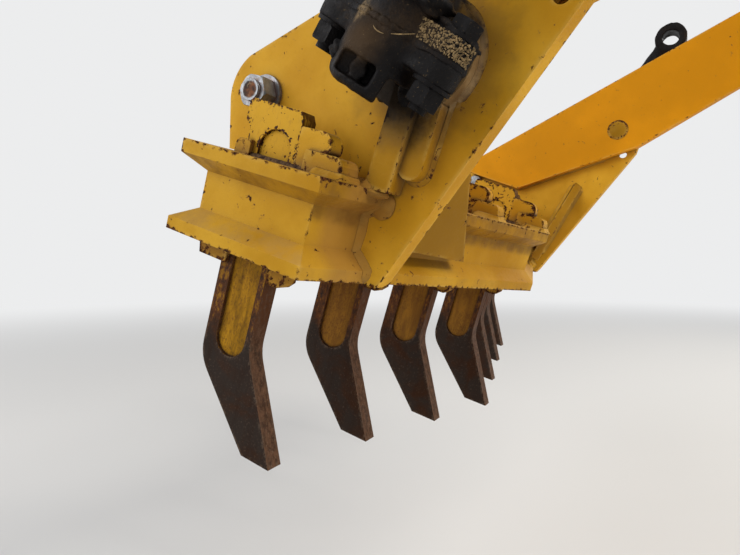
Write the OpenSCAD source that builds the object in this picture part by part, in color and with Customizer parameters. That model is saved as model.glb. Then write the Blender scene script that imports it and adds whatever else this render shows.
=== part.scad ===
// Scarifier of a road grader: a chevron shank bar with seven wedged shanks, hung on two draft
// arms that hinge under a saddle, with a ball-ended lift link on each side.
// X points forward, Y to the machine's left, Z up. The saddle's mounting face is at the origin.
// The bar is laid out in its own frame, with its apex on the middle plane and its underside at
// zero height. The hanging pieces are then turned nose down by carry_tilt about the hinge, as
// they hang when the scarifier is lifted.

/* [Carry position] */
// Nose-down tilt of the bar when the scarifier is lifted, in degrees
carry_tilt = 17; // [8:0.5:19]

/* [Shank bar] */
// Length of bar beyond the centre of an outer shank
end_room = 49; // [40:1:70]
// Forward reach of the apex ahead of the reference line
bar_front = 128; // [122:1:150]
// Width of the bar from front to back
bar_wide = 214; // [204:1:240]
// Height of the bar
bar_high = 114; // [104:1:124]
// Sweep of the two legs, backward travel for each unit sideways
bar_sweep = 0.22; // [0.12:0.01:0.3]
// Thickness of the bottom flange at its edge
flange_low = 16; // [10:1:22]
// Thickness of the top flange at its edge
flange_top = 17; // [10:1:22]
// How far the web stands in from the flange edges
web_in = 22; // [12:1:24]
// Height of the sloped shoulder under the web
shoulder_low = 19; // [10:1:24]
// Height of the sloped shoulder over the web
shoulder_top = 15; // [8:1:20]

/* [Shanks] */
// Spacing of the shanks across the machine
shank_pitch = 177; // [165:1:190]
// Forward place of the middle shank's centre
shank_ahead = 9; // [2:1:14]
// Width of a shank from front to back
shank_wide = 76; // [66:1:80]
// Thickness of a shank
shank_thick = 25; // [18:1:32]
// Height of a shank's top over the bar's underside
shank_top = 182; // [174:1:220]
// Depth of a shank's point under the bar
shank_deep = 248; // [236:1:320]
// Depth at which the blade's front starts to sweep forward
blade_start = 104; // [90:1:120]
// Forward reach of the point from the shank's centre
point_reach = 109; // [100:1:130]
// Length of the ground flat at the point
point_flat = 45; // [30:1:54]
// Rearward overhang of the shank's head
head_back = 9; // [4:1:12]
// Width of the groove in a shank's sides
groove_wide = 48; // [24:1:54]
// Depth of that groove
groove_deep = 4; // [2:0.5:6]
// Forward place of the groove's middle from the shank's centre
groove_ahead = 5; // [0:1:10]
// Height of the groove's upper end over the bar's underside
groove_top = 152; // [140:1:158]
// Depth of the groove's lower end under the bar
groove_low = 136; // [100:1:140]

/* [Wedges and lugs] */
// Width of a wedge under its head
wedge_wide = 30; // [24:1:34]
// Narrowing of a wedge down to its foot
wedge_taper = 4; // [2:0.5:8]
// Height of a wedge's head
wedge_head = 24; // [18:1:30]
// Forward overhang of the wedge's head over the lug
head_out = 16; // [8:1:24]
// Depth of a wedge's foot under the bar
wedge_foot = 28; // [22:1:45]
// Height of the lug blocks over the bar
lug_rise = 24; // [18:1:30]
// Thickness of the lug blocks
lug_thick = 38; // [34:1:48]
// Length of the lug ahead of a wedge
lug_long = 44; // [34:1:48]
// Play between a socket and what sits in it
seat_gap = 0.3; // [0.2:0.05:0.4]

/* [Side plates] */
// Thickness of a side plate
plate_thick = 28; // [20:1:30]
// Distance of a side plate's middle from the outer shank's centre
plate_inset = 71; // [66:1:76]
// Forward place of the front edge at the bar's underside
edge_foot = 42.5; // [40:0.5:46]
// Forward travel of the front edge for each unit of height
edge_lean = 0.39; // [0.34:0.01:0.4]
// Radius of the plate's corner round the rear bolt
plate_boss = 65; // [56:1:68]
// Radius of the plate's corner round the arm bolt
arm_boss = 62; // [54:1:68]
// Thickness of the gusset between the bar's front and a side plate
gusset_thick = 20; // [14:1:22]
// Reach of the gusset's tip inward from the side plate
gusset_reach = 177; // [150:1:190]
// Height of the gusset on the side plate, over the bar's underside
gusset_top = 250; // [220:1:270]

/* [Draft arms] */
// Thickness of an arm
arm_thick = 25; // [16:1:30]
// Angle of an arm's upper edge to the bar, in degrees
arm_rise = 41.6; // [40:0.05:42]
// Radius of the arm's eye at the hinge
eye_r = 50; // [46:1:54]
// Width of the eye's boss
eye_wide = 45; // [40:1:50]
// Radius of the hinge pin
pin_r = 19; // [14:0.5:24]
// Running play of a pin in its bore, on the radius
run_gap = 0.05; // [0.03:0.01:0.08]

/* [Saddle] */
// Length of the saddle plate along the machine
saddle_long = 220; // [200:1:260]
// Thickness of the saddle plate
saddle_thick = 22; // [16:1:28]
// Thickness of an ear
ear_thick = 22; // [16:1:26]
// Clear space between an ear and the eye's boss
ear_gap = 5.5; // [5:0.5:8]
// Drop of the hinge centre under the mounting face
hinge_drop = 95; // [90:1:110]
// Spacing of the mounting holes along the machine
hole_x = 150; // [130:1:170]
// Spacing of the mounting holes across the machine
hole_y = 560; // [400:1:640]
// Radius of a mounting hole
hole_r = 13; // [9:0.5:15]

/* [Bolts] */
// Radius of the bolts in the side plates
bolt_r = 14; // [10:0.5:16]
// Radius of the arm bolt's domed head
dome_r = 24; // [20:1:28]
// Radius of a plate bolt's nut, over its corners
nut_r = 23; // [20:0.5:26]
// Height of that nut
nut_high = 24; // [16:1:28]
// Radius of the rear bolt's washer
washer_r = 27; // [25:1:36]
// Thickness of that washer
washer_thick = 5; // [3:0.5:8]

/* [Lift links] */
// Radius of a ball
ball_r = 32; // [28:0.5:34]
// Play of the ball in its socket
ball_gap = 0.1; // [0.05:0.05:0.2]
// Distance of a ball's centre outside the side plate
ball_out = 80.5; // [78:0.5:92]
// Radius of the round pad under the ball
pad_r = 66; // [60:1:72]
// Thickness of that pad
pad_thick = 20; // [12:1:24]
// Radius of the socket's body
socket_r = 42; // [39:1:43]
// Distance of a socket bolt from the ball's centre
socket_reach = 68; // [64:1:74]
// Radius of a socket bolt
socket_bolt_r = 10; // [7:0.5:12]
// Thickness of a socket flange
flange_thick = 22; // [18:1:28]
// Depth of the cap under the ball's centre
cap_deep = 69; // [64:1:72]
// Distance from the ball to the link's upper eye
link_long = 420; // [360:1:480]
// Radius of the link's rod
link_r = 22; // [18:0.5:26]
// Forward lean of a link over the bar, in degrees
link_lean = 19; // [6:1:24]
// Radius of the link's upper bore
link_bore = 19; // [14:0.5:22]
// Wall round that bore
eye_wall = 17; // [12:1:22]
// Width of the link's upper eye
link_eye = 50; // [40:1:56]

/* [Hidden] */
$fn = 48;

paint = "#c9982f";
paint_worn = "#b07f22";
arm_paint = "#d98a12";
worn_steel = "#4a3527";
grease = "#2b2927";
zinc = "#8f959c";

shank_count = 7;
middle_shank = (shank_count + 1) / 2;
both = [-1, 1];

// places in the bar's frame, forward and up
rear_bolt_at = [-196, 195];
arm_bolt_at = [127.5, 401.5];
pivot_at = [740, 1030];
ball_at = [25, 272];

function rise(a) = [cos(a), sin(a)];
function arc(c, r, a0, a1, steps) = [for (i = [0 : steps]) c + r * rise(a0 + (a1 - a0) * i / steps)];

// sideways place of a shank and the forward place of its centre
function shank_y(i) = shank_pitch * (i - middle_shank);
function shank_x(i) = shank_ahead - bar_sweep * abs(shank_y(i));

// what the outer shanks set: the bar's end and the side plates' faces
bar_half = shank_y(shank_count) + end_room;
plate_at = shank_y(shank_count) - plate_inset;
plate_out = plate_at + plate_thick / 2;
plate_in = plate_at - plate_thick / 2;
ball_y = plate_out + ball_out;

// the bar's front profile: set-in and height, from the underside up
leg_turn = atan(bar_sweep);
bar_profile = [
  [0, 0],
  [0, flange_low],
  [web_in, flange_low + shoulder_low],
  [web_in, bar_high - flange_top - shoulder_top],
  [0, bar_high - flange_top],
  [0, bar_high]
];
front_line = bar_front * cos(leg_turn);
rear_line = (bar_front - bar_wide) * cos(leg_turn);
function bar_face(y) = bar_front - bar_sweep * y;
function front_profile(grow) = [for (p = bar_profile) [front_line + grow - p[0], p[1]]];
function leg_section() = concat(
    front_profile(0),
    [for (i = [len(bar_profile) - 1 : -1 : 0]) [rear_line + bar_profile[i][0], bar_profile[i][1]]]
  );

// plate cut from an outline in X and Z, lying between two sideways places
module upright(y0, y1, outline) {
  translate([0, y1, 0]) rotate([90, 0, 0]) linear_extrude(y1 - y0) polygon(outline);
}

// round bar along Y
module across(c, y0, y1, r) {
  translate([c[0], y1, c[1]]) rotate([90, 0, 0]) cylinder(r = r, h = y1 - y0);
}

// hexagon with turned-down corners, standing on its own base
module hexagon(r, h) {
  trim = h * 0.12;
  intersection() {
    cylinder(r = r, h = h, $fn = 6);
    rotate_extrude() polygon([[0, 0], [r * 0.93, 0], [r, trim], [r, h - trim], [r * 0.9, h], [0, h]]);
  }
}

// stands children on a plane of the right side, facing outwards
module outward(c, y) {
  translate([c[0], y, c[1]]) rotate([90, 0, 0]) children();
}

// stands children on a plane of the right side, facing the middle
module inward(c, y) {
  translate([c[0], y, c[1]]) rotate([-90, 0, 0]) children();
}

// children on the right as drawn, and on the left by reflection
module on_side(side) {
  if (side < 0) children();
  else mirror([0, 1, 0]) children();
}

// what runs along the right leg of the bar, with a section in the leg's own forward direction
module along_leg(section) {
  mirror([0, 1, 0]) rotate([0, 0, leg_turn]) upright(-bar_half, 2 * bar_half, section);
}

module bar_leg(side) {
  on_side(side) difference() {
    intersection() {
      along_leg(leg_section());
      translate([-2 * bar_half, -bar_half, -1]) cube([4 * bar_half, bar_half, bar_high + 2]);
    }
    translate([-bar_half, -bar_half, 0]) rotate([90, 0, 90]) linear_extrude(2 * bar_half)
      polygon(concat(bar_profile, [[-1, bar_high], [-1, 0]]));
  }
}

// forward place of a wedge's front face at a height, from the shank's centre
seat_high = bar_high + lug_rise;
function wedge_front(z) = shank_wide / 2 + wedge_wide
  - wedge_taper * (seat_high - z) / (seat_high + wedge_foot);

module socket_slot(i) {
  back = -shank_wide / 2 - seat_gap;
  half = shank_thick / 2 + seat_gap;
  over = seat_high + wedge_head;
  translate([shank_x(i), shank_y(i), 0]) upright(-half, half, [
    [back, -wedge_foot],
    [wedge_front(-wedge_foot) + seat_gap, -wedge_foot],
    [wedge_front(over) + seat_gap, over],
    [back, over]
  ]);
}

// blocks that frame a socket: behind and ahead of it over the bar, and behind it under the bar
lug_sink = 8;
rear_lug = 12;
low_lug_long = 40;
low_lug_deep = 21;
lug_round = 10;
module socket_lugs(i) {
  back = -shank_wide / 2;
  ahead = wedge_front(bar_high) - rear_lug;
  front = ahead + rear_lug + lug_long;
  half = lug_thick / 2;
  low = bar_high - lug_sink;
  translate([shank_x(i), shank_y(i), 0]) {
    upright(-half, half, concat(
      [[back - rear_lug, low], [back + rear_lug, low], [back + rear_lug, seat_high - lug_round / 2]],
      arc([back - rear_lug + lug_round, seat_high - 1.5 * lug_round], lug_round, 90, 170, 4)
    ));
    upright(-half, half, concat(
      [[ahead, low], [front, low], [front - 2, bar_high + 4]],
      arc([front - lug_round - 4, seat_high - lug_round], lug_round, 10, 90, 4),
      [[ahead, seat_high]]
    ));
    upright(-half, half, [
      [back - low_lug_long, lug_sink], [back - low_lug_long + 6, -low_lug_deep],
      [back + rear_lug, -low_lug_deep], [back + rear_lug, lug_sink]
    ]);
  }
}

module shank_bar() {
  color(paint) difference() {
    union() {
      for (side = both) bar_leg(side);
      for (i = [1 : shank_count]) socket_lugs(i);
    }
    for (i = [1 : shank_count]) socket_slot(i);
  }
}

// side outline of a shank round its own centre line: down the back, round the point, up the front
back_r = 50;
back_turn = 47;
front_r = 60;
front_turn = 29;
head_low = 30;
function shank_outline() = let (h = shank_wide / 2) concat(
    [[-h - head_back + 4, shank_top], [-h - head_back, shank_top - 5]],
    [[-h - head_back, shank_top - head_low + 4], [-h, shank_top - head_low - 5]],
    arc([back_r - h, -blade_start - 26], back_r, 180, 180 + back_turn, 6),
    [[point_reach - point_flat, -shank_deep], [point_reach, -shank_deep + 2]],
    arc([h + front_r, -blade_start], front_r, 180 + front_turn, 180, 5),
    [[h, shank_top - 13], [h - 5, shank_top - 4]]
  );

module shank(i) {
  half = shank_thick / 2;
  color(worn_steel) translate([shank_x(i), shank_y(i), 0]) difference() {
    upright(-half, half, shank_outline());
    for (s = both) shank_groove(s * half);
  }
}

module shank_groove(y) {
  r = groove_wide / 2;
  for (z = [groove_top - r, r - groove_low])
    across([groove_ahead, z], y - groove_deep, y + groove_deep, r);
  translate([groove_ahead - r, y - groove_deep, r - groove_low])
    cube([groove_wide, 2 * groove_deep, groove_top + groove_low - groove_wide]);
}

wedge_play = 0.1;
module wedge(i) {
  back = shank_wide / 2 + wedge_play;
  seat = seat_high + wedge_play;
  top = seat + wedge_head;
  nose = wedge_front(seat) + head_out;
  under = wedge_head * 0.25;
  crown = wedge_head * 0.65;
  sole = 8;
  color(paint_worn) translate([shank_x(i), shank_y(i), 0])
    upright(-shank_thick / 2, shank_thick / 2, concat(
      [[back, top], [back, -wedge_foot], [wedge_front(-wedge_foot) - sole, -wedge_foot]],
      [[wedge_front(sole - wedge_foot), sole - wedge_foot], [wedge_front(seat), seat]],
      arc([nose - under, seat + under], under, -90, 0, 4),
      arc([nose - crown, top - crown], crown, 0, 90, 6)
    ));
}

// outline of the side plate: up the front edge, round the arm bolt, back along the top
function edge_x(z) = edge_foot + edge_lean * z;
plate_foot = 11;
plate_corner = 360;
plate_back = -232;
sling_hole_at = [155, 350];
sling_hole_r = 9;
function plate_outline() = concat(
    [[plate_back, 0], [edge_x(plate_foot) - 6, 0], [edge_x(plate_foot), plate_foot]],
    [[edge_x(plate_corner), plate_corner]],
    arc(arm_bolt_at + [-4, 6], arm_boss, -14, 90 + arm_rise, 12),
    arc(rear_bolt_at, plate_boss, 90 + arm_rise, 190, 9),
    [[plate_back - 10, bar_high + 1]]
  );

// room that the bar's right leg takes out of what is welded to its front and top
module leg_room(grow) {
  back = rear_line - 2 * plate_boss;
  along_leg(concat(
    [[back, -flange_low], [front_line + grow, -flange_low]],
    front_profile(grow),
    [[front_line + grow, bar_high + grow], [back, bar_high + grow]]
  ));
}

module side_plate(side) {
  color(paint) on_side(side) difference() {
    upright(-plate_out, -plate_in, plate_outline());
    leg_room(seat_gap);
    across(sling_hole_at, -plate_out - 5, -plate_in + 5, sling_hole_r);
    for (c = [rear_bolt_at, arm_bolt_at]) across(c, -plate_out - 5, -plate_in + 5, bolt_r + seat_gap);
  }
}

// the gusset stands along the bar's front, leans forward, and tapers from the side plate to its tip
gusset_lean = 12.3;
gusset_turn = 10.1;
gusset_low = 42;
module front_gusset(side) {
  tip = plate_in - gusset_reach;
  high = (gusset_top - gusset_low) / cos(gusset_lean);
  run = gusset_reach / cos(gusset_turn) - high * tan(gusset_turn) * sin(gusset_lean);
  beyond = 1.2;
  color(paint) on_side(side) difference() {
    translate([bar_face(tip) + 3, -tip, gusset_low]) rotate([0, gusset_lean, -gusset_turn])
      translate([-gusset_thick, 0, 0]) rotate([90, 0, 90]) linear_extrude(gusset_thick)
      polygon([[0, 0], beyond * [-run, high], beyond * [-run, 8]]);
    leg_room(seat_gap);
    translate([-bar_half, -plate_in + seat_gap - bar_half, -bar_half])
      cube([3 * bar_half, bar_half, 3 * bar_half]);
  }
}

// arm outline: along the bottom from the rear end, round the eye, back along the top
arm_low = [[-212, 217], [-71, 205], [187.5, 373]];
arm_top = [-208, 255];
arm_under = -43.4;
function arm_outline() = concat(
    arm_low,
    arc(pivot_at, eye_r, arm_under, 90 + arm_rise, 14),
    [arm_top]
  );
arm_mid = plate_in - arm_thick / 2;

module draft_arm(side) {
  mid = -arm_mid;
  color(arm_paint) on_side(side) difference() {
    union() {
      upright(-plate_in, -plate_in + arm_thick, arm_outline());
      across(pivot_at, mid - eye_wide / 2, mid + eye_wide / 2, eye_r - 4);
    }
    across(pivot_at, mid - eye_wide, mid + eye_wide, pin_r + run_gap);
    across(arm_bolt_at, -plate_in - 5, -plate_in + arm_thick + 5, bolt_r + seat_gap);
  }
}

module arm_bolt(side) {
  inner = -plate_in + arm_thick;
  dome_high = 12;
  dome_ball = (dome_r * dome_r + dome_high * dome_high) / (2 * dome_high);
  color(paint_worn) on_side(side) {
    across(arm_bolt_at, -plate_out - nut_high - 8, inner + 1, bolt_r);
    inward(arm_bolt_at, inner) intersection() {
      cylinder(r = dome_r, h = dome_high);
      translate([0, 0, dome_high - dome_ball]) sphere(r = dome_ball);
    }
    outward(arm_bolt_at, -plate_out) hexagon(nut_r, nut_high);
  }
}

module rear_bolt(side) {
  seat = -plate_out - washer_thick;
  color(zinc) on_side(side) {
    across(rear_bolt_at, seat - nut_high - 4, -plate_in + 1, bolt_r);
    across(rear_bolt_at, seat, -plate_out, washer_r);
    outward(rear_bolt_at, seat + 0.5) hexagon(nut_r, nut_high);
    inward(rear_bolt_at, -plate_in) hexagon(bolt_r + 5, nut_high * 0.6);
  }
}

// ribs under the ball: a deep one stands on the bar, a lower one beside it on the plate
post_out = 33;
post_line = [[8, 0], [40, 0], [46, 92], [50, 124], [14, 124]];
spur_out = 24;
spur_foot = [54, 149];
spur_r = 15;
spur_top = 73;
module ball_bracket(side) {
  foot = bar_high + seat_gap;
  color(paint) on_side(side) {
    across(ball_at, -plate_out - pad_thick, -plate_out, pad_r);
    upright(-plate_out - post_out, -plate_out, [for (p = post_line) p + [0, foot]]);
    upright(-plate_out - spur_out, -plate_out, concat(
      arc(spur_foot, spur_r, 180, 360, 10),
      [spur_foot + [spur_r + 2, spur_top], spur_foot + [-spur_r + 3, spur_top]]
    ));
    outward(ball_at, -plate_out - pad_thick + 1) cylinder(r1 = 26, r2 = 17, h = ball_out - pad_thick);
    translate([ball_at[0], -ball_y, ball_at[1]]) sphere(r = ball_r);
  }
}

// places the pieces that turn on the ball, with the link's own length up
module at_ball(side) {
  on_side(side) translate([ball_at[0], -ball_y, ball_at[1]]) rotate([0, link_lean, 0]) children();
}

// flange of the split socket, across its bolts
split_gap = 2;
socket_lug_r = 22;
module socket_flange(z0, z1) {
  translate([0, 0, z0]) linear_extrude(z1 - z0) {
    circle(r = socket_r);
    square([2 * socket_reach, 2 * socket_lug_r], center = true);
    for (s = both) translate([s * socket_reach, 0]) circle(r = socket_lug_r);
  }
}

// room in the socket for the ball and its stud
module ball_room() {
  sphere(r = ball_r + ball_gap);
  rotate([-90, 0, 0]) translate([0, 0, ball_r / 2]) cylinder(r1 = 23, r2 = 33, h = ball_r);
  for (s = both) translate([s * socket_reach, 0, -far_z])
    cylinder(r = socket_bolt_r + seat_gap, h = 2 * far_z);
}
far_z = flange_thick + 8;

module lift_link(side) {
  top = split_gap / 2 + flange_thick;
  dome = 16;
  neck = 46;
  color(grease) at_ball(side) difference() {
    union() {
      socket_flange(split_gap / 2, top);
      translate([0, 0, top]) cylinder(r = socket_r, h = dome);
      translate([0, 0, top + dome]) cylinder(r1 = socket_r, r2 = link_r, h = neck);
      translate([0, 0, top + dome + neck])
        cylinder(r = link_r, h = link_long - top - dome - neck - link_bore - 8);
      across([0, link_long], -link_eye / 2, link_eye / 2, link_bore + eye_wall);
    }
    ball_room();
    across([0, link_long], -link_eye, link_eye, link_bore);
  }
}

// the cap's skirt is cut away in front, and has a pocket with a round plug on its outer side
skirt_turn = 34.3;
skirt_high = 40;
pocket_at = [-34, 3];
pocket_deep = 24;
plug_r = 9;
module socket_cap(side) {
  low = -split_gap / 2 - flange_thick;
  floor_z = 9 - cap_deep;
  color(grease) at_ball(side) {
    difference() {
      union() {
        socket_flange(low, -split_gap / 2);
        rotate_extrude() polygon(concat(
          [[0, low + 1], [0, -cap_deep]],
          arc([socket_r - 12, 12 - cap_deep], 12, -90, 0, 5),
          [[socket_r, low + 1]]
        ));
      }
      ball_room();
      rotate([0, 0, skirt_turn]) {
        translate([16, -socket_r - 5, -cap_deep - 5])
          cube([socket_r, 2 * socket_r + 10, cap_deep + 5 - skirt_high]);
        translate([pocket_at[0], -socket_r - 5, floor_z])
          cube([pocket_at[1] - pocket_at[0], pocket_deep + 5, -skirt_high + 2 - floor_z]);
      }
    }
    rotate([0, 0, skirt_turn]) translate([-13, pocket_deep - socket_r + 1, -49]) rotate([90, 0, 0])
      cylinder(r = plug_r, h = 12);
  }
}

module socket_bolts(side) {
  grip = split_gap / 2 + flange_thick;
  color(grease) at_ball(side) for (s = both) translate([s * socket_reach, 0, 0]) {
    translate([0, 0, -grip - 30]) cylinder(r = socket_bolt_r, h = 2 * grip + 31);
    translate([0, 0, grip]) cylinder(r = 20, h = 4);
    translate([0, 0, grip + 4]) hexagon(17, 14);
    translate([0, 0, -grip]) mirror([0, 0, 1]) {
      cylinder(r = 21, h = 4);
      translate([0, 0, 4]) hexagon(19, 20);
    }
  }
}

// ear outline round the hinge centre, hanging from the saddle plate
ear_half = 85;
function ear_outline() = concat(
    [[-ear_half, 1 - saddle_thick]],
    arc([0, -hinge_drop], eye_r - 2, 205, 335, 12),
    [[ear_half, 1 - saddle_thick]]
  );
ear_in = arm_mid - eye_wide / 2 - ear_gap;
ear_out = arm_mid + eye_wide / 2 + ear_gap;

module hinge_saddle() {
  reach = ear_out + ear_thick;
  color(arm_paint) difference() {
    union() {
      translate([-saddle_long / 2, -reach, -saddle_thick]) cube([saddle_long, 2 * reach, saddle_thick]);
      for (side = both) on_side(side) {
        upright(-ear_in, -ear_in + ear_thick, ear_outline());
        upright(-reach, -ear_out, ear_outline());
      }
    }
    for (side = both) on_side(side)
      across([0, -hinge_drop], -reach - 5, -ear_in + ear_thick + 5, pin_r + run_gap);
    for (x = both) for (y = both)
      translate([x * hole_x / 2, y * hole_y / 2, -saddle_thick - 5])
        cylinder(r = hole_r, h = saddle_thick + 10);
  }
}

module pivot_pin(side) {
  inner = -ear_in + ear_thick;
  outer = -ear_out - ear_thick;
  c = [0, -hinge_drop];
  color(zinc) on_side(side) {
    across(c, outer - 12, inner + 14, pin_r);
    across(c, outer - 12, outer - 0.2, pin_r + 10);
    across(c, inner + 0.2, inner + 10, pin_r + 8);
  }
}

// moves the hanging pieces from the bar's frame to the carry position under the saddle
module hung() {
  translate([0, 0, -hinge_drop]) rotate([0, carry_tilt, 0]) translate([-pivot_at[0], 0, -pivot_at[1]])
    children();
}

hinge_saddle();
pivot_pin(-1);  // pivot_pin_right
pivot_pin(1);  // pivot_pin_left
hung() shank_bar();
hung() shank(1);  // shank_1
hung() shank(2);  // shank_2
hung() shank(3);  // shank_3
hung() shank(4);  // shank_4
hung() shank(5);  // shank_5
hung() shank(6);  // shank_6
hung() shank(7);  // shank_7
hung() wedge(1);  // wedge_1
hung() wedge(2);  // wedge_2
hung() wedge(3);  // wedge_3
hung() wedge(4);  // wedge_4
hung() wedge(5);  // wedge_5
hung() wedge(6);  // wedge_6
hung() wedge(7);  // wedge_7
hung() side_plate(-1);  // side_plate_right
hung() side_plate(1);  // side_plate_left
hung() front_gusset(-1);  // front_gusset_right
hung() front_gusset(1);  // front_gusset_left
hung() draft_arm(-1);  // draft_arm_right
hung() draft_arm(1);  // draft_arm_left
hung() arm_bolt(-1);  // arm_bolt_right
hung() arm_bolt(1);  // arm_bolt_left
hung() rear_bolt(-1);  // rear_bolt_right
hung() rear_bolt(1);  // rear_bolt_left
hung() ball_bracket(-1);  // ball_bracket_right
hung() ball_bracket(1);  // ball_bracket_left
hung() lift_link(-1);  // lift_link_right
hung() lift_link(1);  // lift_link_left
hung() socket_cap(-1);  // socket_cap_right
hung() socket_cap(1);  // socket_cap_left
hung() socket_bolts(-1);  // socket_bolts_right
hung() socket_bolts(1);  // socket_bolts_left
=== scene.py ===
"""Finishes the scarifier of a road grader on the frame that the solid model gives.

Points are worked out in the bar's own frame, in millimetres: x forward, y to the machine's left,
z up, with the apex on the middle plane and the bar's underside at zero. hang() turns them nose
down about the arm hinge and places them under the saddle, in metres.
"""

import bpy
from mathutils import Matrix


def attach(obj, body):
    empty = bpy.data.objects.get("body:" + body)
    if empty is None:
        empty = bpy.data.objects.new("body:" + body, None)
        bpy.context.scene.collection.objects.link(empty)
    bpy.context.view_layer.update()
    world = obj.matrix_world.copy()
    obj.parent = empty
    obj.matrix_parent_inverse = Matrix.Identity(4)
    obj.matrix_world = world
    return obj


bl_info = {
    "name": "Road grader scarifier",
    "version": (1, 0, 0),
    "blender": (4, 5, 0),
    "location": "View3D > Sidebar > Scarifier",
    "description": "Paint, wear, weld beads, threads, grease and packed soil for a grader scarifier",
    "category": "Object",
}

import math

import bmesh
import bpy
import numpy as np
from bpy.props import FloatProperty, FloatVectorProperty, PointerProperty
from mathutils import Matrix, Vector

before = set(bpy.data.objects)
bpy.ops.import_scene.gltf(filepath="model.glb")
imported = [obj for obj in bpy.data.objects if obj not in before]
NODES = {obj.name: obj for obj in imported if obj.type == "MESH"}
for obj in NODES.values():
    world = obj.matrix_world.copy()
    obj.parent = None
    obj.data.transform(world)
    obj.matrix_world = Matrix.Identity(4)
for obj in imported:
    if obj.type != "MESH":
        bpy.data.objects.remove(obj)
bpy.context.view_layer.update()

SIDES = ("right", "left")

# the hinge in the bar's frame, its drop under the mounting face, and the carry tilt
PIVOT = np.array([740, 0, 1030])
HINGE_DROP = 95
CARRY = math.radians(17)

# the bar, from its underside to its top, with the sweep of its arms
BAR_HIGH = 114
BAR_WIDE = 214
BAR_FRONT = 128
BAR_SWEEP = 0.22
# the bar's profile from its top down: set-in, height, and the way off the bar, forward and up
PROFILE = (
    (0, 114, 1, 0),
    (0, 97, 0.85, -0.5),
    (22, 82, 0.85, -0.5),
    (22, 35, 0.8, 0.6),
    (0, 16, 0.8, 0.6),
    (0, 1, 1, 0),
)

# the shanks, their slots from back to front, and the lugs ahead of their wedges
SHANK_COUNT = 7
SHANK_PITCH = 177
SHANK_AHEAD = 9
SLOT_BACK, SLOT_FRONT, SLOT_HALF = -37, 66, 13
LUG_BACK, LUG_FRONT, LUG_HALF = 68, 111, 19
# a groove's straight part from its lower end up, its middle line and its half width
GROOVE_LOW, GROOVE_HIGH, GROOVE_AHEAD, GROOVE_HALF = -112, 128, 5, 24

# sideways places of the plates' faces, and places of the parts on them, forward and up
PLATE_OUT, PLATE_IN = 474, 446
BALL = np.array([25, -554.5, 272])
BALL_LINE = (BALL[0], BALL[2])
REAR_BOLT = (-196, 195)
ARM_BOLT = (127.5, 401.5)
PAD_R, PAD_THICK = 66, 20
POST_OUT = 33
SPUR_BEND, SPUR_BEND_R = (54, 149), 15
# threads: their radius, and from where to where they run on the right side
THREAD_R = 14.2
REAR_THREAD = (-502.5, -507.2)
ARM_THREAD = (-497.5, -506.2)

# rounding of the edges of bolts, of pins and of the sockets' bolts under their grease
BOLT_ROUND, PIN_ROUND, CAKED_ROUND = 0.8, 1, 1.4

# the link's lean, and the socket's round body and long flanges
LINK_LEAN = math.radians(19)
SOCKET_R = 42
FLANGE_REACH, FLANGE_R = 68, 22
# grease and dust on the socket caps' outer faces: sideways start and end, and places
CAP_FACE = (578, 590)
HAZE_AT = (16, 252)
DUSTY_AT = (5, 276)

# the saddle, and the sideways places of its ears' faces from the middle outward
SADDLE_THICK = 22
EAR_FACES = (405.5, 383.5, 483.5, 461.5)
EAR_HALF = 82


def nose_down(points, angle):
    """Points turned about the line across the machine, so that what is ahead goes down."""
    p = np.asarray(points, float)
    c, s = np.cos(angle), np.sin(angle)
    return np.stack([c * p[..., 0] + s * p[..., 2], p[..., 1], c * p[..., 2] - s * p[..., 0]], -1)


def hang(points):
    """Points of the bar's frame turned by the carry tilt about the hinge, in metres."""
    return (nose_down(np.asarray(points, float) - PIVOT, CARRY) - (0, 0, HINGE_DROP)) / 1000


def on_side(points, side):
    """Points drawn on the right, or their mirror image on the left."""
    return np.asarray(points, float) * (1, -1 if side == "left" else 1, 1)


def colour(name, description, value):
    """A colour property with its name, description and default."""
    return FloatVectorProperty(
        name=name, description=description, subtype="COLOR", size=3, min=0, max=1, default=value
    )


def length(name, description, value, low, high):
    """A property for a length in millimetres, with its name, description, default and range."""
    return FloatProperty(name=name, description=description, default=value, min=low, max=high)


class ScarifierColours(bpy.types.PropertyGroup):
    """Colours of the scarifier's finishes."""

    enamel: colour("Enamel", "Yellow enamel of the bar and plates", (0.62, 0.34, 0.026))
    # pale enamel on edges: worn paint that also serves as a painted highlight
    enamel_worn_and_highlight: colour("Worn enamel", "Enamel rubbed thin on edges", (0.74, 0.5, 0.13))
    enamel_dark: colour("Enamel in shade", "Deeper, older enamel", (0.45, 0.218, 0.009))
    arm_enamel: colour("Arm enamel", "Orange enamel of the arms and saddle", (0.76, 0.31, 0.006))
    rust: colour("Rust", "Near black rust in chips", (0.024, 0.01, 0.006))
    rust_warm: colour("Warm rust", "Brown rust round chips and on wedges", (0.13, 0.045, 0.014))
    stain: colour("Stain", "Light brown stain that runs from rust", (0.34, 0.165, 0.04))
    # soil and grime also darken the enamel's corners, where they are partly painted shade
    soil: colour("Soil", "Dry soil in corners", (0.15, 0.088, 0.042))
    dust: colour("Dust", "Pale dust on open faces", (0.36, 0.245, 0.12))
    grime_and_shade: colour("Grime", "Greasy dirt round the ball joints", (0.085, 0.05, 0.023))
    steel: colour("Shank steel", "Dark brown steel of the shanks", (0.04, 0.026, 0.019))
    steel_front: colour("Shank front", "Rusty brown of the shanks' fronts", (0.125, 0.062, 0.034))
    steel_worn: colour("Worn steel", "Pale scratches on edges", (0.27, 0.185, 0.125))
    zinc: colour("Zinc", "Dull zinc of the rear bolts", (0.36, 0.385, 0.41))
    grease: colour("Grease", "Black grease on the ball joints", (0.0068, 0.006, 0.0062))
    grit: colour("Grit", "Sandy grit stuck in the grease", (0.3, 0.205, 0.095))
    floor: colour("Floor", "Plain pale floor", (0.7, 0.697, 0.69))
    backdrop: colour("Backdrop", "Pale surroundings", (0.84, 0.845, 0.85))


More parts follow.
